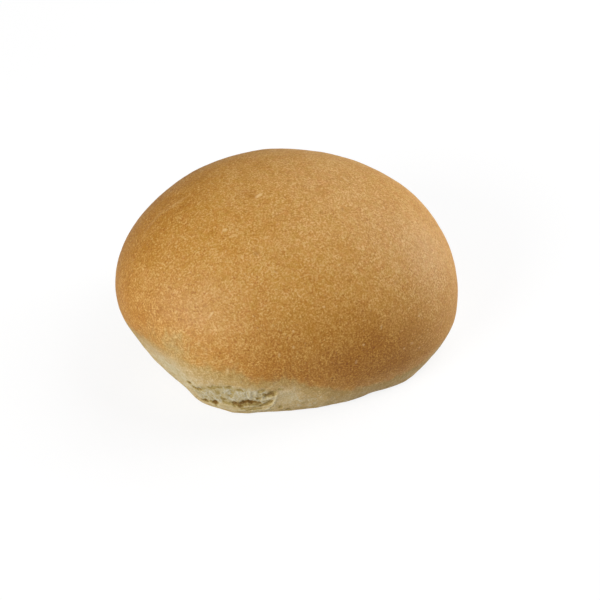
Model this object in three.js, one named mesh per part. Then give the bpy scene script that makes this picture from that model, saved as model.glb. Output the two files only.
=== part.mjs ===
// A soft white bread roll, baked on a tray. It is one solid: an oval dome that leans a little,
// a side that tucks in under the belly, a flat sole, and a torn seam low on the front left.
// Millimetres, +Z up. The sole lies on z = 0, the front faces -Y, and the origin is on the
// sole under the middle of the roll's box. Turns are degrees round +Z, counted from +X.
import * as THREE from 'three';

// ---- Driving dimensions of the body
const height = 56.5;
const halfLength = 52.3; // of the plan oval, along its long axis
const halfWidth = 42.3;
const planTurn = 10; // of the long axis
const cornerShare = 0.019; // how far three blunt corners stand out of the oval
const cornerTurn = 111;
const bellyHeight = 17.5; // of the widest line, on average
const bellyLean = 6; // how much higher that line runs on its high side
const leanTurn = 206;
const footShare = 0.83; // the sole's radius as a share of the belly's, on average
const footLean = 0.083; // how much larger that share is on its broad side
const footTurn = 336;
const soleRounding = 1.6; // radius of the edge between side and sole
const domeFullness = 2.08; // superellipse exponent: 2 is a round quarter, more is fuller
const crownShift = [1, 3.2]; // of the highest point, from the middle of the plan oval

// ---- Broad unevenness: each swell pushes the surface out, or in where push is negative
const swells = [
  { turn: 216, drop: 1.4, turnReach: 16, dropReach: 0.35, push: -1.9 },
  { turn: 140, drop: 0.55, turnReach: 14, dropReach: 0.3, push: 0.3 },
  { turn: 330, drop: 1.1, turnReach: 12, dropReach: 0.3, push: 0.6 },
  { turn: 60, drop: 0.75, turnReach: 20, dropReach: 0.25, push: 0.4 },
  { turn: 95, drop: 1.2, turnReach: 18, dropReach: 0.3, push: -0.5 },
];
// ---- Lips along the foot, which the side runs out to, or in where push is negative
const lips = [
  { turn: 232, turnReach: 7, push: 1.9 },
  { turn: 246, turnReach: 14, push: 2.7 },
  { turn: 264, turnReach: 10, push: 0.4 },
  { turn: 311, turnReach: 6, push: -0.6 },
  { turn: 324, turnReach: 8, push: 0.8 },
];

// ---- The torn seam: each path runs through [turn, rise above the sole] on the side
const tears = [
  { path: [[250.5, 6], [252, 7.1], [254.5, 8.2], [257, 7.5], [259, 6.9]], reach: 1.1, push: -2.2 },
  { path: [[260, 5.7], [262, 6.9], [263.5, 8.3]], reach: 0.9, push: -1.4 },
  { path: [[232.5, 9.4], [236, 9.5], [238.5, 11.7]], reach: 0.9, push: -1.2 },
  { path: [[240.5, 12.4], [242, 13.5], [244.5, 14]], reach: 1, push: -0.7 },
  { path: [[251.5, 4.5], [254.5, 4.3], [257.5, 5.1]], reach: 0.7, push: -0.9 },
  { path: [[262, 11.3], [264, 11.9]], reach: 1.2, push: -1.7 },
  { path: [[239.4, 4.3], [240.8, 4.4]], reach: 1.1, push: -1.7 },
  { path: [[245.5, 5.9], [248.5, 5.6]], reach: 0.8, push: -0.9 },
  { path: [[235.7, 4], [236.3, 4]], reach: 0.9, push: -0.9 },
  { path: [[231.2, 11], [231.8, 11]], reach: 0.9, push: -0.8 },
  { path: [[251, 3.6], [257, 3], [261, 3.2], [263.5, 5.2], [265.5, 8.2]], reach: 0.7, push: 0.5 },
];
const tearTurn = 250; // the tear's middle
const tearRadius = 42; // of the side at the tear, which makes turns along it into lengths

// ---- The mesh: columns crowd together at the tear, rows are even on the dome and the side
const columns = 126;
const columnCrowding = 0.58; // 0 spaces them evenly, 1 would close them up at the tear
const domeRows = 18;
const sideRows = 20;
const soleRings = [0.6, 0.25]; // shares of the sole's radius

const rad = THREE.MathUtils.degToRad;
const bell = (x) => Math.exp(-x * x);
const turnGap = (a, b) => ((a - b + 540) % 360) - 180;

function bellyRadius(turn) {
  const a = rad(turn - planTurn);
  const oval = (halfLength * halfWidth) / Math.hypot(halfWidth * Math.cos(a), halfLength * Math.sin(a));
  return oval * (1 + cornerShare * Math.cos(3 * rad(turn - cornerTurn)));
}

function footRadius(turn) {
  let radius = bellyRadius(turn) * (footShare + footLean * Math.cos(rad(turn - footTurn)));
  for (const lip of lips) radius += lip.push * bell(turnGap(turn, lip.turn) / lip.turnReach);
  return radius;
}

// The smooth body. drop runs from 0 at the crown to 1 on the belly and 2 at the sole's edge.
function bodyPoint(turn, drop) {
  const belly = bellyRadius(turn);
  const rise = bellyHeight + bellyLean * Math.cos(rad(turn - leanTurn));
  let radius = belly;
  let z = rise;
  let climb = 0; // from the belly, 0, to the crown, 1
  if (drop <= 1) {
    const angle = (drop * Math.PI) / 2;
    climb = Math.max(Math.cos(angle), 0) ** (2 / domeFullness);
    radius = belly * Math.sin(angle) ** (2 / domeFullness);
    z = rise + (height - rise) * climb;
  } else {
    const fall = drop - 1; // the side is a parabola that leaves the belly upright
    z = rise * (1 - fall);
    const intoEdge = Math.max(soleRounding - z, 0);
    const inset = soleRounding - Math.sqrt(soleRounding ** 2 - intoEdge ** 2);
    radius = belly - (belly - footRadius(turn)) * fall * fall - inset;
  }
  const x = radius * Math.cos(rad(turn)) + crownShift[0] * climb * climb;
  const y = radius * Math.sin(rad(turn)) + crownShift[1] * climb * climb;
  return new THREE.Vector3(x, y, z);
}

function bodyNormal(turn, drop) {
  const step = 0.01;
  const below = Math.min(drop + step, 2);
  const down = bodyPoint(turn, below).sub(bodyPoint(turn, below - 2 * step));
  const round = bodyPoint(turn + step, drop).sub(bodyPoint(turn - step, drop));
  return down.cross(round).normalize();
}

// Distance from a point on the side to a tear's path, with turns counted as lengths.
function distanceToPath(turn, rise, path) {
  const place = ([t, z]) => new THREE.Vector2(rad(turnGap(t, tearTurn)) * tearRadius, z);
  const here = place([turn, rise]);
  let nearest = Infinity;
  for (let i = 1; i < path.length; i++) {
    const start = place(path[i - 1]);
    const along = place(path[i]).sub(start);
    const share = THREE.MathUtils.clamp(here.clone().sub(start).dot(along) / along.lengthSq(), 0, 1);
    nearest = Math.min(nearest, here.distanceTo(start.addScaledVector(along, share)));
  }
  return nearest;
}

// How far the surface stands out of the smooth body, along its normal.
function relief(turn, drop, rise) {
  let push = 0;
  for (const s of swells) {
    push += s.push * bell(turnGap(turn, s.turn) / s.turnReach) * bell((drop - s.drop) / s.dropReach);
  }
  if (drop > 1) {
    for (const t of tears) push += t.push * bell(distanceToPath(turn, rise, t.path) / t.reach);
  }
  return push;
}

function surfacePoint(turn, drop) {
  const point = bodyPoint(turn, drop);
  if (drop < 2) point.addScaledVector(bodyNormal(turn, drop), relief(turn, drop, point.z));
  point.z = Math.max(point.z, 0);
  return point;
}

// Rings of points from the crown down to the sole, closed by one point at each end.
function rollGeometry() {
  const turns = Array.from({ length: columns }, (_, i) => {
    const share = i / columns;
    const crowding = (columnCrowding / (2 * Math.PI)) * Math.sin(2 * Math.PI * share);
    return tearTurn + 360 * (share - crowding);
  });
  const drops = [];
  for (let i = 1; i <= domeRows; i++) drops.push(i / domeRows);
  for (let i = 1; i <= sideRows; i++) drops.push(1 + i / sideRows);
  const rings = drops.map((drop) => turns.map((turn) => surfacePoint(turn, drop)));
  const edge = rings[rings.length - 1];
  for (const share of soleRings) rings.push(edge.map((p) => p.clone().multiplyScalar(share)));

  const points = [bodyPoint(0, 0), ...rings.flat(), new THREE.Vector3(0, 0, 0)];
  const last = points.length - 1;
  const at = (ring, column) => 1 + ring * columns + (column % columns);
  const faces = [];
  for (let i = 0; i < columns; i++) {
    faces.push(0, at(0, i), at(0, i + 1));
    for (let ring = 1; ring < rings.length; ring++) {
      faces.push(at(ring - 1, i), at(ring, i), at(ring, i + 1));
      faces.push(at(ring - 1, i), at(ring, i + 1), at(ring - 1, i + 1));
    }
    faces.push(last, at(rings.length - 1, i + 1), at(rings.length - 1, i));
  }
  const geometry = new THREE.BufferGeometry().setFromPoints(points);
  geometry.setIndex(faces);
  geometry.computeBoundingBox();
  const middle = geometry.boundingBox.getCenter(new THREE.Vector3());
  geometry.translate(-middle.x, -middle.y, 0);
  geometry.computeVertexNormals();
  return geometry;
}

const crust = new THREE.MeshStandardMaterial({ color: 0xc1904d, roughness: 0.7, metalness: 0 });
const roll = new THREE.Mesh(rollGeometry(), crust);
roll.name = 'bread_roll';

const part = new THREE.Group();
part.add(roll);
export default part;
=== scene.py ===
# A soft white bread roll, baked on a tray: its detailed crust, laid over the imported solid,
# with the camera, floor and light. Sizes are in millimetres until they are laid out.
import math

import bmesh
import bpy
import numpy as np
from mathutils import Matrix, Vector, noise


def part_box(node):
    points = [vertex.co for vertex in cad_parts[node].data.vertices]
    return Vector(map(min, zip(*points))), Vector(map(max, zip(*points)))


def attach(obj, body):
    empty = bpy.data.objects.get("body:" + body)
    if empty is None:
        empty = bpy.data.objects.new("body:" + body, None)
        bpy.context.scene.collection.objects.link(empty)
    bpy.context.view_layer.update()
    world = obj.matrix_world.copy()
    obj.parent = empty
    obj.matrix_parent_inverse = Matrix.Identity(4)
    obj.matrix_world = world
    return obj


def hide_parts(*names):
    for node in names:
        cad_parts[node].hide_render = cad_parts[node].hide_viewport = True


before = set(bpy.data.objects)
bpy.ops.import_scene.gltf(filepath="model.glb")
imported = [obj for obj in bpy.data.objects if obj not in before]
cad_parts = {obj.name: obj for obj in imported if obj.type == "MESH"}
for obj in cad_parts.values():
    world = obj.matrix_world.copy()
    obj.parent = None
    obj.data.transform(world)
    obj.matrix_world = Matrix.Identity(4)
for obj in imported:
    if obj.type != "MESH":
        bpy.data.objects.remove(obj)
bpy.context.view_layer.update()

mm = 0.001

camera = {
    "place": (0, -328.87, 300.96),
    "target": (3.26, -6.51, 17.24),
    "lens": 85,
    "sensor": 36,
    "clip": (10, 20000),  # the nearest and farthest that it sees
}


def makeCamera():
    data = bpy.data.cameras.new("camera")
    data.lens = camera["lens"]
    data.sensor_width = camera["sensor"]
    data.clip_start, data.clip_end = [distance * mm for distance in camera["clip"]]
    ob = bpy.data.objects.new("camera", data)
    place, target = Vector(camera["place"]) * mm, Vector(camera["target"]) * mm
    ob.location = place
    ob.rotation_euler = (target - place).to_track_quat("-Z", "Y").to_euler()
    bpy.context.scene.collection.objects.link(ob)
    bpy.context.scene.camera = ob
    print("camera ready")


makeCamera()

# Turns are degrees round +Z counted from +X, so the front is at 270. drop runs from 0 at the
# crown to 1 on the belly and 2 at the sole's edge. A place on the side is (turn, rise). A reach
# is where something has fallen to about a third of its full push or amount.
roll = {
    "height": 56.5,
    "halfLength": 52.3,  # of the plan oval
    "halfWidth": 42.3,
    "planTurn": 10,  # of the oval's long axis
    "cornerShare": 0.019,  # how far three blunt corners stand out of the oval
    "cornerTurn": 111,
    "bellyHeight": 17.5,
    "bellyLean": 6,  # how much higher the belly runs on its high side
    "leanTurn": 206,
    "footShare": 0.83,  # the sole's radius as a share of the belly's
    "footLean": 0.083,
    "footTurn": 336,
    "soleRounding": 1.6,
    "domeFullness": 2.08,  # superellipse exponent, 2 is a round quarter
    "crownShift": (1, 3.2),
    "swells": [  # turn, drop, reach in turn, reach in drop, push
        (216, 1.4, 16, 0.35, -1.9),
        (140, 0.55, 14, 0.3, 0.3),
        (330, 1.1, 12, 0.3, 0.6),
        (60, 0.75, 20, 0.25, 0.4),
        (95, 1.2, 18, 0.3, -0.5),
    ],
    "lips": [  # turn, reach in turn, push of the foot
        (232, 7, 1.9),
        (246, 14, 2.7),
        (264, 10, 0.4),
        (311, 6, -0.6),
        (324, 8, 0.8),
    ],
    "unevenness": [  # size, push, seed
        (17, 0.24, 3),
        (6, 0.085, 11),
        (2.4, 0.04, 23),
    ],
    "wrinkles": 1.2,  # how much more uneven the pale foot is
    "wrinkled": (1, 1.4),  # drops over which that grows
    "smoothEdge": (1.93, 2),  # drops over which the skin's unevenness ends at the sole
    "soleHollow": 0.5,  # how far the sole's middle stands off the tray
    "soleRim": (0.04, 0.35),  # shares of the way in, over which that hollow begins
    "soleLevel": 0.5,  # the share of that hollow which its ripples lie about
    "soleRipples": [  # size, share, seed
        (9, 0.5, 61),
        (1.8, 0.2, 63),
    ],
    "cuts": 127,  # of each edge of the cube that the mesh starts from
    "crowding": 0.6,  # of the mesh's columns towards the tear
    "crowdedFrom": (15, 70),  # degrees from the ball's top, over which the crowding grows
    "crowdedTo": (10, 45),  # degrees from its bottom, over which it fades
    "bellyPolar": 80,  # where the belly falls on that ball, in degrees from its top
    "solePolar": 135,
    "edgeEase": 0.06,  # closes the rows up at the sole's rounded edge; less is closer
}
seedSteps = (7.13, 3.71, 5.37)  # how far apart two seeds' noises lie


def bell(x):
    return np.exp(-x * x)


def step(x, low, high):  # smoothly from 0 at low to 1 at high
    x = np.clip((x - low) / (high - low), 0, 1)
    return x * x * (3 - 2 * x)


def across(x, edge, fade):  # the same between two distances from an edge
    return step(x, edge + fade[0], edge + fade[1])


def along(turn, stops):
    return np.interp(turn, [t for t, _ in stops], [value for _, value in stops])


def turnGap(a, b):
    return (a - b + 540) % 360 - 180


def patches(turn, drop, spots):  # each spot: turn, drop, reach in turn, reach in drop, amount
    return sum(amount * bell(turnGap(turn, t) / turnReach) * bell((drop - d) / dropReach)
               for t, d, turnReach, dropReach, amount in spots)


def smoothNoise(points, size, seed):
    shift = Vector([seed * apart for apart in seedSteps])
    return np.array([noise.noise(Vector(p) / size + shift) for p in points])


def layeredNoise(points, layers):  # each layer: size, share, seed
    return sum(share * smoothNoise(points, size, seed) for size, share, seed in layers)


def bellyRadius(turn):
    a = np.radians(turn - roll["planTurn"])
    long, wide = roll["halfLength"], roll["halfWidth"]
    oval = long * wide / np.hypot(wide * np.cos(a), long * np.sin(a))
    return oval * (1 + roll["cornerShare"] * np.cos(3 * np.radians(turn - roll["cornerTurn"])))


def footRadius(turn):
    share = roll["footShare"] + roll["footLean"] * np.cos(np.radians(turn - roll["footTurn"]))
    radius = bellyRadius(turn) * share
    for lipTurn, reach, push in roll["lips"]:
        radius = radius + push * bell(turnGap(turn, lipTurn) / reach)
    return radius


def bodyPoint(turn, drop):  # on the smooth body
    belly = bellyRadius(turn)
    rise = roll["bellyHeight"] + roll["bellyLean"] * np.cos(np.radians(turn - roll["leanTurn"]))
    angle = np.clip(drop, 0, 1) * math.pi / 2
    power = 2 / roll["domeFullness"]
    climb = np.clip(np.cos(angle), 0, 1) ** power
    fall = np.clip(drop - 1, 0, 1)
    z = np.where(drop <= 1, rise + (roll["height"] - rise) * climb, rise * (1 - fall))
    edge = roll["soleRounding"]
    inset = edge - np.sqrt(np.clip(edge ** 2 - np.clip(edge - z, 0, None) ** 2, 0, None))
    side = belly - (belly - footRadius(turn)) * fall ** 2 - inset
    radius = np.where(drop <= 1, belly * np.sin(angle) ** power, side)
    x = radius * np.cos(np.radians(turn)) + roll["crownShift"][0] * climb ** 2
    y = radius * np.sin(np.radians(turn)) + roll["crownShift"][1] * climb ** 2
    return np.stack([x, y, z], axis=-1)


def bodyNormal(turn, drop):
    gap = 0.01
    below = np.clip(drop + gap, 3 * gap, 2)
    down = bodyPoint(turn, below) - bodyPoint(turn, below - 2 * gap)
    level = np.maximum(drop, gap)
    around = bodyPoint(turn + gap, level) - bodyPoint(turn - gap, level)
    normal = np.cross(down, around)
    return normal / np.linalg.norm(normal, axis=-1, keepdims=True)


def startingMesh():  # a cube cut into six even grids, which leave no pole on the roll
    bm = bmesh.new()
    bmesh.ops.create_cube(bm, size=2)
    bmesh.ops.subdivide_edges(bm, edges=bm.edges[:], cuts=roll["cuts"], use_grid_fill=True)
    bmesh.ops.recalc_face_normals(bm, faces=bm.faces[:])
    mesh = bpy.data.meshes.new("rollCrust")
    bm.to_mesh(mesh)
    bm.free()
    return mesh


# Gives each vertex's turn, its drop, its share of the way out from the sole's middle to its
# edge, and whether it lies on the sole.
def surfacePlaces(mesh):
    co = np.empty(len(mesh.vertices) * 3, dtype=np.float32)
    mesh.vertices.foreach_get("co", co)
    ball = np.tan(co.reshape(-1, 3).astype(float) * math.pi / 4)  # which evens out the grids
    ball /= np.linalg.norm(ball, axis=1, keepdims=True)
    polar = np.degrees(np.arccos(np.clip(ball[:, 2], -1, 1)))
    around = np.degrees(np.arctan2(ball[:, 1], ball[:, 0]))
    crowding = roll["crowding"] * step(polar, *roll["crowdedFrom"])
    crowding *= step(180 - polar, *roll["crowdedTo"])
    turn = (tear["turn"] + around - np.degrees(crowding * np.sin(np.radians(around)))) % 360
    belly, sole, ease = roll["bellyPolar"], roll["solePolar"], roll["edgeEase"]
    left = np.clip((sole - polar) / (sole - belly), 0, 1)
    drop = np.where(polar <= belly, polar / belly, 2 - left ** 2 * (1 + ease) / (left + ease))
    return turn, drop, np.clip((180 - polar) / (180 - sole), 0, 1), polar > sole


# The torn seam, low on the front left. A fade is a pair of distances from an edge, between
# which something comes or goes, and a noise is a size and a seed.
tear = {
    "turn": 250,  # its middle
    "halfSpan": 60,  # of the part of the side that it is worked out for, in degrees
    "radius": 42,  # of the side there, which makes turns along it into lengths
    "raggedness": [  # size, share, seed
        (2.2, 1, 41),
        (0.9, 0.6, 43),
    ],
    "bend": 0.45,  # of the cracks' and ridges' paths
    "bendSize": 0.9,
    "bendSeeds": (45, 47),
    "cracks": [  # path of (turn, rise), reach, push, darkness; the darkness is painted shade in the crack
        ([(253, 7.6), (254.2, 7.9), (255.6, 7.6)], 0.85, -0.55, 1),
        ([(248.6, 6.2), (251.2, 6.5), (252.8, 7.3)], 0.75, -0.35, 0.8),
        ([(255.8, 7.6), (257.2, 7.3), (259, 7)], 0.7, -0.35, 0.75),
        ([(250, 5.6), (250.8, 5)], 0.65, -0.35, 0.75),
        ([(251.6, 5.5), (253.5, 6.1), (255.5, 6.4), (258, 6)], 0.4, -0.25, 0.6),
        ([(259.5, 5.6), (261.5, 6.5), (263.8, 8.3)], 0.6, -0.4, 0.6),
        ([(233.2, 9.6), (234.5, 9.4), (236, 9.7)], 0.7, -0.45, 0.6),
        ([(236.2, 9.7), (238.2, 11.5)], 0.5, -0.2, 0.3),
        ([(240.5, 12.5), (242.5, 13.5), (244.5, 13.8)], 0.7, -0.25, 0.45),
        ([(251.2, 4.1), (253, 4.3), (254.5, 4.9), (257.2, 4.8)], 0.4, -0.25, 0.45),
        ([(253.5, 3.4), (256, 3.7), (259, 3.9)], 0.35, -0.15, 0.45),
        ([(262.1, 11.4), (263.8, 11.8)], 1.2, -0.5, 0.75),
        ([(240.3, 4.3), (240.8, 5)], 0.9, -0.5, 1),
        ([(244.8, 6), (246.8, 5.9)], 0.7, -0.25, 0.4),
        ([(248.4, 5.6), (248.7, 5.4)], 0.7, -0.35, 0.65),
        ([(235.7, 4), (236.4, 4.2)], 0.8, -0.3, 0.75),
        ([(231.4, 11), (231.7, 11.4)], 0.75, -0.3, 0.75),
        ([(244.3, 7.8), (244.7, 7.8)], 0.75, -0.2, 0.6),
        ([(242.9, 11.5), (243.6, 10)], 0.5, -0.15, 0.4),
        ([(249, 14.4), (248.5, 10)], 0.45, -0.15, 0.3),
        ([(247.6, 14.3), (248.2, 14.6)], 0.7, -0.2, 0.55),
        ([(251.4, 13.9), (252.3, 13.7)], 0.6, -0.2, 0.5),
        ([(259.4, 13.4), (260.6, 13.9)], 0.65, -0.2, 0.55),
        ([(258.6, 9.8), (259, 9.8)], 0.65, -0.2, 0.5),
        ([(264.6, 12.9), (265, 13.1)], 0.65, -0.2, 0.55),
        ([(267.2, 14.2), (267.9, 14.1)], 0.7, -0.1, 0.3),
        ([(267, 4.5), (267.5, 4.5)], 0.65, -0.2, 0.5),
        ([(270.5, 2.5), (271.2, 2.5)], 0.65, -0.2, 0.6),
    ],
    "ridges": [  # path, reach, push
        ([(252.4, 5), (257.5, 5.4)], 0.3, 0.12),
        ([(251, 3.3), (257, 2.8), (260.8, 3.1), (263.5, 5.2), (265.2, 8.5), (266, 11.5)],
         0.42, 0.18),
        ([(259.8, 8.7), (263.6, 9.9)], 0.5, 0.2),
        ([(255.6, 13.5), (255.3, 9.4)], 0.35, 0.15),
        ([(257.9, 13.5), (257.7, 9.4)], 0.35, 0.15),
        ([(260.2, 13.2), (260.6, 11), (260, 9.2)], 0.3, 0.12),
        ([(234, 5.5), (237, 3.4), (242, 3.2), (248, 2.8)], 0.35, 0.12),
    ],
    "top": [(230, 9), (232.5, 10.2), (236, 10.8), (240, 12.6), (244.5, 14.4), (249, 14.4),
            (256, 14.2), (260.5, 14.1), (264, 13.2), (267, 12)],  # where crumb meets crust
    "bottom": [(230, 8.5), (232.5, 7.5), (236, 4.8), (240, 5.5), (245.8, 6.4), (249.8, 6.6),
               (254.2, 8.3), (258.8, 7.2), (261.5, 6.8), (264, 8.5), (267, 10)],
    "ends": (231, 266),
    "topWaver": 0.9,
    "bottomWaver": 0.35,
    "endWaver": 2,  # in degrees
    "startFade": (-2, 4),  # in degrees too
    "endFade": (-6, 1),
    "bottomFade": (-1, 0.4),
    "tornFade": (-3, 0.8),  # of the relief at the top
    "bareFade": (-1.2, 2),  # and of the crumb's colour
    "recess": 0.12,  # of the crumb behind the crust's skin
    "strands": 0.06,
    "strandNoise": ((0.8, 4), 51),
    "lumps": 0.14,
    "lumpNoise": (1.5, 57),
    "holes": 0.16,
    "holeSpacing": (1.6, 1.8),  # along the side and up it
    "holeLevel": 0.5,  # of the plane that cuts through their cells
    "holeEdge": (0.1, 0.36),  # shares of that spacing
    # how much painted shade the holes get
    "holeDarkness": 0.5,
    "darkNoise": (3, 59),  # of the places where the holes get painted shade
    "darkSpan": (-0.15, 0.25),
    "crackRaggedness": 0.35,
    "crackEdge": (0.5, 1.5),  # of the painted shade, in shares of a crack's reach
    "ridgeRaggedness": 0.3,
    "layers": 0.16,  # of the lip below the crumb
    "layerNoise": ((4, 0.8), 67),
    "lipFade": (-0.6, 0.6),
    "lipStart": (2, 8),  # in degrees
    "lipEnd": (-3, 0),
    "toastRaggedness": 0.4,
    "toastSpan": (-0.3, 0.5),  # of the layers, from pale to toasted
}


def sidePlace(turn, rise):  # lengths along the side at the tear, and up it
    return np.stack([np.radians(turnGap(turn, tear["turn"])) * tear["radius"], rise], axis=-1)


def distanceToPath(here, path):
    nearest = np.full(len(here), np.inf)
    corners = [sidePlace(np.float64(t), np.float64(z)) for t, z in path]
    for start, end in zip(corners, corners[1:]):
        leg = end - start
        share = np.clip((here - start) @ leg / (leg @ leg), 0, 1)
        nearest = np.minimum(nearest, np.linalg.norm(here - start - share[:, None] * leg, axis=1))
    return nearest


def sideNoise(here, size, seed):  # size is a length along the side and one up it
    stretched = np.column_stack([here / np.array(size), np.zeros(len(here))])
    return smoothNoise(stretched, 1, seed)


def tornSeam(turn, point):  # push out of the body, bare crumb, painted shade in holes and cracks, lip, light rims
    rise = point[:, 2]
    here = sidePlace(turn, rise)
    ragged = layeredNoise(point, tear["raggedness"])
    top = along(turn, tear["top"]) + tear["topWaver"] * ragged
    bottom = along(turn, tear["bottom"]) + tear["bottomWaver"] * ragged
    first, last = tear["ends"]
    wavy = turn + tear["endWaver"] * ragged
    ends = across(wavy, first, tear["startFade"]) * (1 - across(wavy, last, tear["endFade"]))
    ends *= across(rise, bottom, tear["bottomFade"])
    torn = ends * (1 - across(rise, top, tear["tornFade"]))
    bare = ends * (1 - across(rise, top, tear["bareFade"]))

    strands = 1 - 2 * np.abs(sideNoise(here, *tear["strandNoise"]))
    lumps = smoothNoise(point, *tear["lumpNoise"])
    level = tear["holeLevel"]
    cells = np.array([noise.voronoi(Vector((x, z, level)))[0][0]
                      for x, z in here / tear["holeSpacing"]])
    holes = 1 - step(cells, *tear["holeEdge"])
    crumb = tear["strands"] * strands + tear["lumps"] * lumps
    push = torn * (crumb - tear["recess"] - tear["holes"] * holes)
    dark = step(smoothNoise(point, *tear["darkNoise"]), *tear["darkSpan"])
    hollowShade = torn * tear["holeDarkness"] * holes * dark

    bend = [smoothNoise(point, tear["bendSize"], seed) for seed in tear["bendSeeds"]]
    bent = here + tear["bend"] * np.stack(bend, axis=1)
    for path, reach, depth, darkness in tear["cracks"]:
        far = distanceToPath(bent, path) / (reach * (1 + tear["crackRaggedness"] * ragged))
        push += depth * bell(far)
        hollowShade = np.maximum(hollowShade, darkness * (1 - step(far, *tear["crackEdge"])))
    rims = np.zeros(len(here))
    for path, reach, height in tear["ridges"]:
        far = distanceToPath(bent, path) / (reach * (1 + tear["ridgeRaggedness"] * ragged))
        push += height * bell(far)
        rims = np.maximum(rims, bell(far))

    layers = sideNoise(here, *tear["layerNoise"])
    below = 1 - across(rise, bottom, tear["lipFade"])
    below *= across(turn, first, tear["lipStart"]) * (1 - across(turn, last, tear["lipEnd"]))
    push += tear["layers"] * layers * below
    toast = below * step(layers + tear["toastRaggedness"] * ragged, *tear["toastSpan"])
    return push, bare, hollowShade, toast, rims


# Where golden crust gives way to the pale foot, and where each is browner or whiter; some browner
# patches are painted shade.
finish = {
    "paleLine": [  # turn, drop
        (0, 1.52), (20, 1.5), (42, 1.42), (66, 1.5), (95, 1.36), (118, 1.4), (140, 1.5),
        (163, 1.38), (190, 1.48), (205, 1.48), (213, 1.42), (218, 1.33), (222, 1.29),
        (231, 1.3), (238, 1.46), (245, 1.46), (252, 1.36), (258, 1.42), (262, 1.42),
        (266, 1.36), (272, 1.31), (280, 1.43), (288, 1.58), (294.5, 1.69), (301, 1.72),
        (310.5, 1.77), (319, 1.78), (330, 1.72), (345, 1.6), (360, 1.52),
    ],
    "paleAbove": [  # how far up from that line the fading reaches: turn, drop
        (0, 0.36), (25, 0.5), (60, 0.4), (90, 0.55), (130, 0.42), (170, 0.55), (205, 0.46),
        (213, 0.55), (218, 0.53), (222, 0.48), (231, 0.54), (238, 0.64), (244, 0.58),
        (252, 0.5), (258, 0.4), (264, 0.4), (280, 0.34), (360, 0.36),
    ],
    "paleBelow": 0.22,  # and how far down
    "waver": [  # size, share, seed
        (7, 1, 71),
        (2.5, 0.5, 73),
    ],
    "lineWaver": 0.08,
    "backWaver": 0.12,  # what is added to that towards the back, where the line is patchier
    "frontTurn": 270,
    "backFade": (70, 120),  # degrees from the front, over which that comes in
    "streakWaver": 0.07,
    "streakStretch": (1, 1, 0.4),  # up and down the side
    "streakNoise": (1.3, 75),
    # Mostly baked browning. The band at turn 290 on the belly and the patches at 300 and 309 are
    # partly browning, partly painted shade on the side turned from the lights; 196 paints shade
    # at the left edge, and 214 paints shade over a sheen.
    "brownedAndShaded": [  # turn, drop, reach in turn, reach in drop, amount
        (160, 0.66, 55, 0.38, 0.65),
        (196, 0.95, 18, 0.3, 0.25),
        (290, 1, 48, 0.3, 0.72),
        (265, 0.98, 14, 0.2, 0.25),
        (290, 0.76, 20, 0.12, 0.18),
        (300, 1.3, 22, 0.2, 0.42),
        (309, 1.02, 15, 0.22, 0.64),
        (186, 0.4, 14, 0.1, 0.22),
        (214, 0.99, 13, 0.16, 0.24),
        (70, 0.95, 60, 0.3, 0.4),
        (219, 0.84, 9, 0.13, 0.2),
    ],
    "brownWaver": 0.06,
    "floury": [  # the same
        (221, 1.35, 15, 0.4, 1),
        (249, 1.62, 18, 0.27, 0.45),
        (269, 1.36, 6, 0.15, 0.8),
        (272, 1.6, 8, 0.2, 0.25),
        # The spot at turn 303 is partly pale flour and partly painted light, brightening the
        # foot's lower edge.
        (303, 1.75, 16, 0.15, 0.35),
        (140, 1.6, 40, 0.5, 0.4),
        (40, 1.7, 40, 0.4, 0.3),
    ],
    "soleEdge": (0.2, 1.2),  # rises over which the sole's finish ends
    "soleWaver": 0.4,
}


def finishMasks(turn, drop, point, onSole, seam):  # how much of each finish a vertex has
    waver = layeredNoise(point, finish["waver"])
    streaks = smoothNoise(point * finish["streakStretch"], *finish["streakNoise"])
    away = step(np.abs(turnGap(turn, finish["frontTurn"])), *finish["backFade"])
    uneven = (finish["lineWaver"] + finish["backWaver"] * away) * waver
    uneven += finish["streakWaver"] * streaks
    pale = step(drop - along(turn, finish["paleLine"]) + uneven,
                -along(turn, finish["paleAbove"]), finish["paleBelow"])
    sole = 1 - step(point[:, 2] + finish["soleWaver"] * waver, *finish["soleEdge"])
    brown = patches(turn, drop, finish["brownedAndShaded"]) + finish["brownWaver"] * waver
    bare, hollowShade, toast, rims = seam
    return {
        "paleFoot": np.where(onSole, 1, pale),
        "torn": bare,
        "hollowShade": hollowShade,
        "toast": toast,
        "rims": rims,
        "sole": np.where(onSole, 1, sole),
        "browningAndShade": np.clip(brown, 0, 1),
        "flour": np.clip(patches(turn, drop, finish["floury"]), 0, 1),
    }


def toSolid(plain):  # the shift from the body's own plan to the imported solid's, in metres
    low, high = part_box("bread_roll")
    middle = np.array([(low[0] + high[0]) / 2, (low[1] + high[1]) / 2, 0])
    shift = middle - (plain.min(axis=0) + plain.max(axis=0)) / 2 * mm
    shift[2] = 0
    return shift


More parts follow.
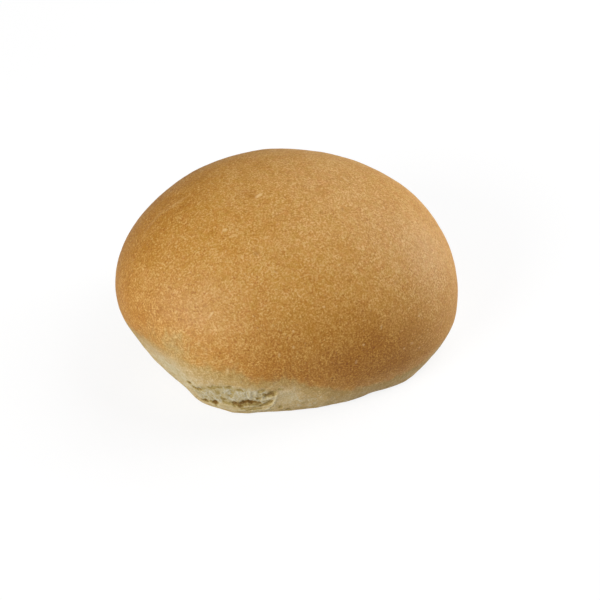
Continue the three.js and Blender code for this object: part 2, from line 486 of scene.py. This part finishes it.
def makeRoll():  # gives the crust, and the shift of its plan, which the marks need
    mesh = startingMesh()
    turn, drop, outward, onSole = surfacePlaces(mesh)
    point, normal = bodyPoint(turn, drop), bodyNormal(turn, drop)
    swell = patches(turn, drop, roll["swells"])
    shift = toSolid(point + normal * swell[:, None])
    print("roll: body laid out")

    skin = layeredNoise(point, roll["unevenness"])
    skin *= 1 + roll["wrinkles"] * step(drop, *roll["wrinkled"])
    push = swell + skin * (1 - step(drop, *roll["smoothEdge"]))
    nearTear = np.abs(turnGap(turn, tear["turn"])) < tear["halfSpan"]
    side = (drop > 1) & (drop < 2) & nearTear
    seam = np.zeros((5, len(point)))  # a row for each thing that tornSeam gives
    seam[:, side] = tornSeam(turn[side], point[side])
    push = np.where(drop < 2, push + seam[0], 0)
    shaped = point + normal * push[:, None]
    print("roll: crust and tear raised")

    sole = shaped[onSole]
    sole[:, :2] *= outward[onSole, None]
    sole[:, 2] = 0
    ripple = roll["soleLevel"] + layeredNoise(sole, roll["soleRipples"])
    inward = step(1 - outward[onSole], *roll["soleRim"])
    sole[:, 2] = roll["soleHollow"] * inward * np.clip(ripple, 0, 1)
    shaped[onSole] = sole
    shaped[:, 2] = np.clip(shaped[:, 2], 0, None)
    mesh.vertices.foreach_set("co", (shaped * mm + shift).ravel().astype(np.float32))
    for name, values in finishMasks(turn, drop, point, onSole, seam[1:]).items():
        mask = mesh.attributes.new(name, "FLOAT", "POINT")
        mask.data.foreach_set("value", values.astype(np.float32))
    mesh.polygons.foreach_set("use_smooth", [True] * len(mesh.polygons))
    mesh.update()
    ob = bpy.data.objects.new("rollCrust", mesh)
    bpy.context.scene.collection.objects.link(ob)
    print("roll: shaped, faces", len(mesh.polygons))
    return ob, shift


class Value:  # a socket with numbers, on which Python's operators make Math nodes
    def __init__(self, maker, socket):
        self.maker, self.socket = maker, socket

    def math(self, operation, first, second):
        return self.maker.add("ShaderNodeMath", {"operation": operation}, {0: first, 1: second})

    def __add__(self, other):
        return self.math("ADD", self, other)

    def __sub__(self, other):
        return self.math("SUBTRACT", self, other)

    def __rsub__(self, other):
        return self.math("SUBTRACT", other, self)

    def __mul__(self, other):
        return self.math("MULTIPLY", self, other)

    __radd__, __rmul__ = __add__, __mul__

    def larger(self, other):
        return self.math("MAXIMUM", self, other)

    def spread(self, low, high, toLow=0, toHigh=1):  # smoothly, as step does
        return self.maker.add("ShaderNodeMapRange", {"interpolation_type": "SMOOTHSTEP"},
                              {"Value": self, "From Min": low, "From Max": high,
                               "To Min": toLow, "To Max": toHigh}, "Result")


class Nodes:  # of a new material or world
    def __init__(self, owner):
        owner.use_nodes = True
        self.tree = owner.node_tree
        self.tree.nodes.clear()

    def add(self, kind, settings, sockets, output=0):
        node = self.tree.nodes.new(kind)
        for name, value in settings.items():
            setattr(node, name, value)
        for name, value in sockets.items():
            if isinstance(value, Value):
                self.tree.links.new(value.socket, node.inputs[name])
            else:
                node.inputs[name].default_value = value
        return Value(self, node.outputs[output]) if node.outputs else None

    def mix(self, factor, first, second):  # of colours, a Mix node's sockets 6 and 7 and output 2
        full = [(*c, 1) if isinstance(c, tuple) else c for c in (first, second)]
        return self.add("ShaderNodeMix", {"data_type": "RGBA"},
                        {0: factor, 6: full[0], 7: full[1]}, 2)

    def attribute(self, name):
        return self.add("ShaderNodeAttribute", {"attribute_name": name}, {}, "Fac")

    def grain(self, place, size, detail, roughness):  # it lies about 0.5
        return self.add("ShaderNodeTexNoise", {}, {
            "Vector": place, "Scale": 1 / (size * mm), "Detail": detail,
            "Roughness": roughness}, "Fac")


crustLook = {
    "golden": (0.572, 0.281, 0.044),
    "rosy": (0.585, 0.292, 0.062),
    "olive": (0.55, 0.264, 0.03),
    "ruddy": (0.62, 0.262, 0.05),
    "sallow": (0.53, 0.297, 0.04),
    # brown paints baked browning, and in some patches painted shade
    "brown": (0.395, 0.145, 0.004),
    "light": (0.82, 0.55, 0.235),  # the tops of the grain, partly their own paler tone and partly a painted highlight
    "brownLight": (0.74, 0.43, 0.08),  # the same where it is browner
    "dark": (0.35, 0.09, 0.001),  # and what lies between them, partly darker tone and partly painted shade
    "brownDark": (0.19, 0.045, 0.001),
    "speck": (0.85, 0.59, 0.27),
    "fading": (0.37, 0.262, 0.065),  # where the crust gives way to the pale foot
    "pale": (0.59, 0.5, 0.3),
    "tan": (0.58, 0.39, 0.145),  # of the foot where it is less floury
    "straw": (0.44, 0.33, 0.13),  # the pale foot's and the crumb's darker mottling
    "cream": (0.68, 0.6, 0.4),  # and its lighter
    "crumb": (0.48, 0.39, 0.205),
    "floury": (0.63, 0.59, 0.45),
    "toast": (0.58, 0.47, 0.235),  # the tear's lip
    "rim": (0.38, 0.27, 0.07),  # of its holes, browner crust where the painted shade in them begins
    # the painted shade deep in the tear's holes and cracks
    "pit": (0.17, 0.08, 0.004),
    "scorchAndShade": (0.36, 0.13, 0),
    "tray": (0.6, 0.43, 0.2),  # of the sole, browned by the tray
    "specular": 0.49,
    "bump": 0.125,  # height of the grain
    "speckSpacing": 1.1,
    "strandStretch": (1, 1, 0.3),  # up and down the crumb
    "markDepth": 2,
    "grains": {  # size, detail, roughness
        "hue": (4.5, 4, 0.7),
        "tint": (2.2, 3, 0.65),
        "patch": (3.2, 3, 0.5),
        "blotch": (8, 3, 0.55),
        "pebble": (0.52, 2, 0.55),
        "fine": (0.7, 2, 0.6),
        "weave": (1.3, 2, 0.5),
        "wave": (2.1, 2, 0.5),
        "dimple": (1.6, 2, 0.5),
        "mottle": (1.7, 3, 0.65),
        "fleck": (0.45, 2, 0.7),
        "strand": (0.7, 2, 0.6),
    },
    "spans": {  # of a grain or mask, over which something comes in, and how much there is
        "rosy": (0.5, 0.7),
        "olive": (0.5, 0.32),
        "speckEdge": (0.36, 0.1),
        "speckLot": (0.6, 1),  # only the cells with a high lot have a speck
        "fibreIn": (0.43, 0.5),
        "fibreOut": (0.57, 0.5),
        "fibreHue": (0.35, 0.6, 0.5, 1),
        "patchy": (0.3, 0.7, 0.75, 1.25),
        "fadeIn": (0, 0.25),
        "fadeOut": (1, 0.5),
        "cream": (0.5, 0.72),
        "straw": (0.5, 0.3),
        "flouryCrumb": (0.42, 0.6),
        "strawCrumb": (0.5, 0.3),
        "tray": (0.4, 0.65),
        "raggedHole": (0, 0.3),
        "rim": (0.05, 0.4, 0, 0.85),
        "pit": (0.35, 0.9),
        "mark": (1.25, 0.35),
        "roughness": (0, 1, 0.58, 0.8),  # from the crust to the pale foot
    },
    "shares": {  # how much each has of the mix it goes into
        "tint": 2,
        "pebble": 2.5,
        "wave": 0.3,
        "blotch": 0.45,
        "fibres": 0.35,
        "darker": 0.05,
        "fading": 0.7,
        "flourFade": 0.5,  # how much of the fading flour hides
        "footMottle": 0.8,
        "cream": 0.7,
        "straw": 0.8,
        "speck": 0.3,
        "speckLoss": 0.8,  # how much of the specks a brown or pale place hides
        "paleMarks": 0.6,
        "strand": 1.3,
        "crumbMottle": 0.5,
        "crumbLight": 1.5,
        "crumbDark": 3,
        "strawCrumb": 0.6,
        "toast": 0.75,
        "rims": 0.6,
        "sole": 0.7,
        "speckHeight": 0.5,
        "dimpleHeight": 0.8,
        "fineHeight": 0.7,
        "roughness": 0.15,
    },
}
grains, spans, shares = (crustLook[part] for part in ("grains", "spans", "shares"))
marks = [  # turn, drop, slant, half length, half width, how pale, or brown below 0
    (222, 0.143, 42, 1.5, 0.55, 1.2),
    (216.5, 0.16, 10, 1.5, 0.9, -0.45),
    # This one paints a patch of shade beside the dash.
    (207, 0.17, 15, 3, 1.8, -0.2),
    (184, 0.425, 21, 4.8, 1, 0.26),
    (186, 0.53, 36, 6.8, 1.1, 0.2),
    (190, 0.4, 21, 5, 1, -0.4),
    (164, 0.352, 15, 2.4, 0.9, -0.35),
    (177.5, 0.484, 25, 1.8, 0.8, -0.3),
    (225.5, 0.341, 0, 0.85, 0.65, 0.9),
    (251, 0.41, 20, 1.1, 0.9, -0.5),
    (220.5, 0.777, 90, 1.2, 0.6, -0.55),
    (221.5, 0.8, 0, 2.6, 1.8, -0.2),
    (239.8, 0.713, 50, 1.4, 0.4, 0.8),
    (4.5, 0.193, -45, 1.8, 0.5, 0.7),
    (248, 1.02, 80, 1.8, 0.55, 0.55),
    (348.5, 0.358, 0, 0.45, 0.4, 1),
    (332.5, 0.412, 0, 0.4, 0.35, 1),
    (332, 0.478, 90, 0.45, 0.35, 0.9),
    (338, 0.502, 90, 0.45, 0.35, 0.9),
    (314, 0.442, 0, 0.5, 0.35, 0.8),
    (301.5, 0.868, 0, 0.45, 0.4, 0.9),
    (318.5, 0.946, 0, 0.45, 0.4, 0.9),
    (327, 0.82, 0, 0.45, 0.4, 0.9),
    (325.5, 0.976, 0, 0.45, 0.4, 0.9),
    (262.5, 0.028, 0, 0.5, 0.5, -0.5),
    (331.5, 0.346, 0, 0.45, 0.4, -0.5),
    (317.5, 0.49, 0, 0.45, 0.4, -0.5),
    (310, 0.802, 90, 0.9, 0.35, 0.7),
    (295.7, 0.952, 80, 0.8, 0.55, -0.9),
    (298, 0.952, 80, 0.8, 0.5, 0.5),
    (270, 1.33, 0, 1.7, 1.2, 0.2),
    (229.5, 0.928, 90, 0.55, 0.45, -0.7),
    (301.5, 0.562, 0, 0.8, 0.6, -0.5),
    (263.5, 0.484, 0, 0.6, 0.5, -0.5),
    (324, 0.256, 90, 0.8, 0.5, -0.5),
    (227, 0.232, 0, 0.7, 0.5, -0.45),
    (175, 0.232, 0, 0.7, 0.5, -0.5),
    (304.5, 0.238, 0, 0.9, 0.6, -0.45),
    (276, 0.988, 0, 1.2, 0.8, -0.4),
    (271.5, 0.922, 80, 1.3, 0.8, -0.4),
    (246, 0.994, 20, 1.2, 0.9, -0.35),
    (236.5, 0.682, 0, 0.9, 0.7, -0.4),
    (235.5, 0.838, 0, 1, 0.7, -0.4),
    (322.5, 0.634, 0, 1.1, 0.7, -0.4),
    (286.5, 0.658, 0, 0.5, 0.45, 0.8),
    (244, 0.436, 0, 0.5, 0.45, 0.7),
    (254, 0.334, 0, 0.6, 0.5, 0.6),
    (272.5, 0.838, 90, 0.5, 0.4, 0.7),
    (272.5, 0.76, 90, 0.5, 0.4, 0.7),
    (237.5, 0.874, 60, 0.9, 0.5, 0.5),
    (322, 0.934, 0, 0.7, 0.5, 0.6),
    (267, 0.88, 90, 0.9, 0.45, 0.5),
    (292, 0.274, 0, 0.5, 0.4, 0.6),
]


def markShape(m, place, oval, shift):  # 1 in the middle of an oval on the skin
    turn, drop, slant, halfLength, halfWidth = oval
    normal = Vector(bodyNormal(np.float64(turn), np.float64(drop)))
    right = (Vector((1, 0, 0)) - normal * normal.x).normalized()
    up = normal.cross(right)
    a = math.radians(slant)
    axes = Matrix((right * math.cos(a) + up * math.sin(a),
                   up * math.cos(a) - right * math.sin(a), normal)).transposed()
    middle = bodyPoint(np.float64(turn), np.float64(drop)) * mm + shift
    inside = m.add("ShaderNodeMapping", {"vector_type": "TEXTURE"}, {
        "Vector": place, "Location": tuple(middle), "Rotation": axes.to_euler(),
        "Scale": (halfLength * mm, halfWidth * mm, crustLook["markDepth"] * mm)})
    return m.add("ShaderNodeVectorMath", {"operation": "LENGTH"}, {0: inside},
                 "Value").spread(*spans["mark"])


def markedColour(m, place, colour, shift):
    paleMarks, brownMarks = 0, 0
    for *oval, paleness in marks:
        shape = markShape(m, place, oval, shift) * abs(paleness)
        if paleness > 0:
            paleMarks = paleMarks + shape
        else:
            brownMarks = brownMarks + shape
    colour = m.mix(paleMarks * shares["paleMarks"], colour, crustLook["speck"])
    return m.mix(brownMarks, colour, crustLook["scorchAndShade"])


def specks(m, place):
    cells = {"Vector": place, "Scale": 1 / (crustLook["speckSpacing"] * mm)}
    near = m.add("ShaderNodeTexVoronoi", {}, cells, "Distance")
    lot = m.add("ShaderNodeSeparateColor", {}, {
        "Color": m.add("ShaderNodeTexVoronoi", {}, cells, "Color")}, "Red")
    return near.spread(*spans["speckEdge"]) * lot.spread(*spans["speckLot"])


def grainTone(m, place, pebble, hue, patch):  # above 0 where it is lighter, below where darker
    blotch = m.grain(place, *grains["blotch"])
    weave = m.grain(place, *grains["weave"])
    fibres = weave.spread(*spans["fibreIn"]) * weave.spread(*spans["fibreOut"])
    fibres = fibres * hue.spread(*spans["fibreHue"])
    strength = patch.spread(*spans["patchy"]) * shares["pebble"]
    wave = m.grain(place, *grains["wave"])
    tone = (pebble - 0.5) * strength + (wave - 0.5) * shares["wave"]
    return tone + (blotch - 0.5) * shares["blotch"] + fibres * shares["fibres"] - shares["darker"]


def skinColour(m, place, hue, browningAndShade):  # of the golden crust, before its grain
    look = crustLook
    colour = m.mix(hue.spread(*spans["rosy"]), look["golden"], look["rosy"])
    colour = m.mix(hue.spread(*spans["olive"]), colour, look["olive"])
    tint = (m.grain(place, *grains["tint"]) - 0.5) * shares["tint"]
    colour = m.mix(tint, colour, look["ruddy"])
    colour = m.mix(tint * -1, colour, look["sallow"])
    # the browning mask also paints shade in some patches
    return m.mix(browningAndShade, colour, look["brown"])


# Paler tops and darker hollows of the grain: partly the crust's own uneven tone, partly a painted
# highlight on the tops and painted shade between them.
def grainedColour(m, colour, tone, pale, browningAndShade):
    look = crustLook
    light = m.mix(pale, m.mix(browningAndShade, look["light"], look["brownLight"]), look["cream"])
    dark = m.mix(pale, m.mix(browningAndShade, look["dark"], look["brownDark"]), look["straw"])
    colour = m.mix(tone.larger(0), colour, light)
    return m.mix((tone * -1).larger(0), colour, dark)


def footColour(m, mottle, flour):
    look = crustLook
    foot = m.mix(flour + (mottle - 0.5) * shares["footMottle"], look["tan"], look["pale"])
    foot = m.mix(mottle.spread(*spans["cream"]) * shares["cream"], foot, look["cream"])
    return m.mix(mottle.spread(*spans["straw"]) * shares["straw"], foot, look["straw"])


def crumbColour(m, place, mottle, patch):
    look = crustLook
    flecks = m.grain(place, *grains["fleck"]) - 0.5
    upright = m.add("ShaderNodeMapping", {}, {"Vector": place, "Scale": look["strandStretch"]})
    flecks = flecks + (m.grain(upright, *grains["strand"]) - 0.5) * shares["strand"]
    light = mottle.spread(*spans["flouryCrumb"]) * shares["crumbMottle"]
    crumb = m.mix(light + flecks * shares["crumbLight"], look["crumb"], look["floury"])
    crumb = m.mix(patch.spread(*spans["strawCrumb"]) * shares["strawCrumb"], crumb, look["straw"])
    return m.mix((flecks * -shares["crumbDark"]).larger(0), crumb, look["straw"])


# Browner crust at the edges of the tear's holes and cracks, then painted shade deeper in them.
def holedColour(m, colour, hollowShade, fine):
    depth = hollowShade + (fine - 0.5) * hollowShade.spread(*spans["raggedHole"])
    colour = m.mix(depth.spread(*spans["rim"]), colour, crustLook["rim"])
    return m.mix(depth.spread(*spans["pit"]), colour, crustLook["pit"])


def crustMaterial(shift):
    material = bpy.data.materials.new("bakedCrust")
    m, look = Nodes(material), crustLook
    place = m.add("ShaderNodeTexCoord", {}, {}, "Object")
    pale, torn, hollowShade, toast, rims, sole, browningAndShade, flour = [m.attribute(name) for name in (
        "paleFoot", "torn", "hollowShade", "toast", "rims", "sole", "browningAndShade", "flour")]
    hue, patch, fine = [m.grain(place, *grains[name]) for name in ("hue", "patch", "fine")]

    colour = skinColour(m, place, hue, browningAndShade)
    pebble = m.grain(place, *grains["pebble"])
    speck = specks(m, place)
    tone = grainTone(m, place, pebble, hue, patch)
    fading = pale.spread(*spans["fadeIn"]) * pale.spread(*spans["fadeOut"])
    fading = fading * (1 - flour * shares["flourFade"])
    colour = m.mix(fading * shares["fading"], colour, look["fading"])
    mottle = m.grain(place, *grains["mottle"])
    colour = m.mix(pale, colour, footColour(m, mottle, flour))
    colour = grainedColour(m, colour, tone, pale, browningAndShade)
    plain = 1 - browningAndShade.larger(pale) * shares["speckLoss"]
    colour = m.mix(speck * shares["speck"] * plain, colour, look["speck"])
    colour = markedColour(m, place, colour, shift)

    colour = m.mix(torn, colour, crumbColour(m, place, mottle, patch))
    colour = m.mix(toast * shares["toast"], colour, look["toast"])
    colour = m.mix(rims * shares["rims"], colour, look["cream"])
    tray = m.mix(patch.spread(*spans["tray"]), look["tray"], look["toast"])
    colour = m.mix(sole * shares["sole"], colour, tray)
    colour = holedColour(m, colour, hollowShade, fine)

    dimple = m.grain(place, *grains["dimple"])
    height = pebble + speck * shares["speckHeight"] + dimple * shares["dimpleHeight"]
    height = height + fine * pale * shares["fineHeight"]
    bump = m.add("ShaderNodeBump", {}, {"Height": height, "Distance": look["bump"] * mm})
    rough = pale.spread(*spans["roughness"]) + (patch - 0.5) * shares["roughness"]
    shader = m.add("ShaderNodeBsdfPrincipled", {}, {
        "Base Color": colour, "Roughness": rough, "Normal": bump,
        "Specular IOR Level": look["specular"]})
    m.add("ShaderNodeOutputMaterial", {}, {"Surface": shader})
    print("crust material made")
    return material


studio = {
    "floorSeen": 0.2,  # how much light the floor throws to the viewer, besides its glow
    "floorThrown": 0.66,  # and how much it throws back under the roll
    "floorGlow": 0.83,
    "floorSize": 4000,
    "skyStrength": 0.11,  # of its light on the roll; it looks as bright as the far floor
    "aim": (0, 0, 20),  # of every light
    "lights": [  # name, place, size, power
        ("keyLight", (-600, -580, 400), 550, 7.3),
        ("backLight", (430, 160, 640), 500, 2.2),
        ("rearLight", (170, 560, 480), 450, 1.12),
        ("sideLight", (735, 250, 168), 380, 3.2),
    ],
}


def floorMaterial():  # nearly white, with a faint shadow
    material = bpy.data.materials.new("plainFloor")
    m = Nodes(material)
    inView = m.add("ShaderNodeLightPath", {}, {}, "Is Camera Ray")
    seen, thrown = [m.add("ShaderNodeBsdfDiffuse", {}, {"Color": (*[studio[name]] * 3, 1)})
                    for name in ("floorSeen", "floorThrown")]
    glow = m.add("ShaderNodeEmission", {}, {"Strength": studio["floorGlow"]})
    bright = m.add("ShaderNodeAddShader", {}, {0: seen, 1: glow})
    shader = m.add("ShaderNodeMixShader", {}, {0: inView, 1: thrown, 2: bright})
    m.add("ShaderNodeOutputMaterial", {}, {"Surface": shader})
    return material


def skyWorld():
    world = bpy.data.worlds.new("studio")
    m = Nodes(world)
    inView = m.add("ShaderNodeLightPath", {}, {}, "Is Camera Ray")
    strength = inView * (studio["floorGlow"] - studio["skyStrength"]) + studio["skyStrength"]
    background = m.add("ShaderNodeBackground", {}, {"Color": (1, 1, 1, 1), "Strength": strength})
    m.add("ShaderNodeOutputWorld", {}, {"Surface": background})
    return world


def makeStudio():
    bm = bmesh.new()
    bmesh.ops.create_grid(bm, x_segments=2, y_segments=2, size=studio["floorSize"] / 2 * mm)
    mesh = bpy.data.meshes.new("floor")
    bm.to_mesh(mesh)
    bm.free()
    floor = bpy.data.objects.new("floor", mesh)
    mesh.materials.append(floorMaterial())
    bpy.context.scene.collection.objects.link(floor)
    aim = Vector(studio["aim"]) * mm
    for name, place, size, power in studio["lights"]:
        data = bpy.data.lights.new(name, "AREA")
        data.shape, data.size, data.energy = "DISK", size * mm, power
        ob = bpy.data.objects.new(name, data)
        ob.location = Vector(place) * mm
        ob.rotation_euler = (aim - ob.location).to_track_quat("-Z", "Y").to_euler()
        bpy.context.scene.collection.objects.link(ob)
    bpy.context.scene.world = skyWorld()
    bpy.context.scene.view_settings.view_transform = "Standard"
    print("studio ready")


crust, planShift = makeRoll()
crust.data.materials.append(crustMaterial(planShift))
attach(crust, "root")
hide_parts("bread_roll")
makeStudio()
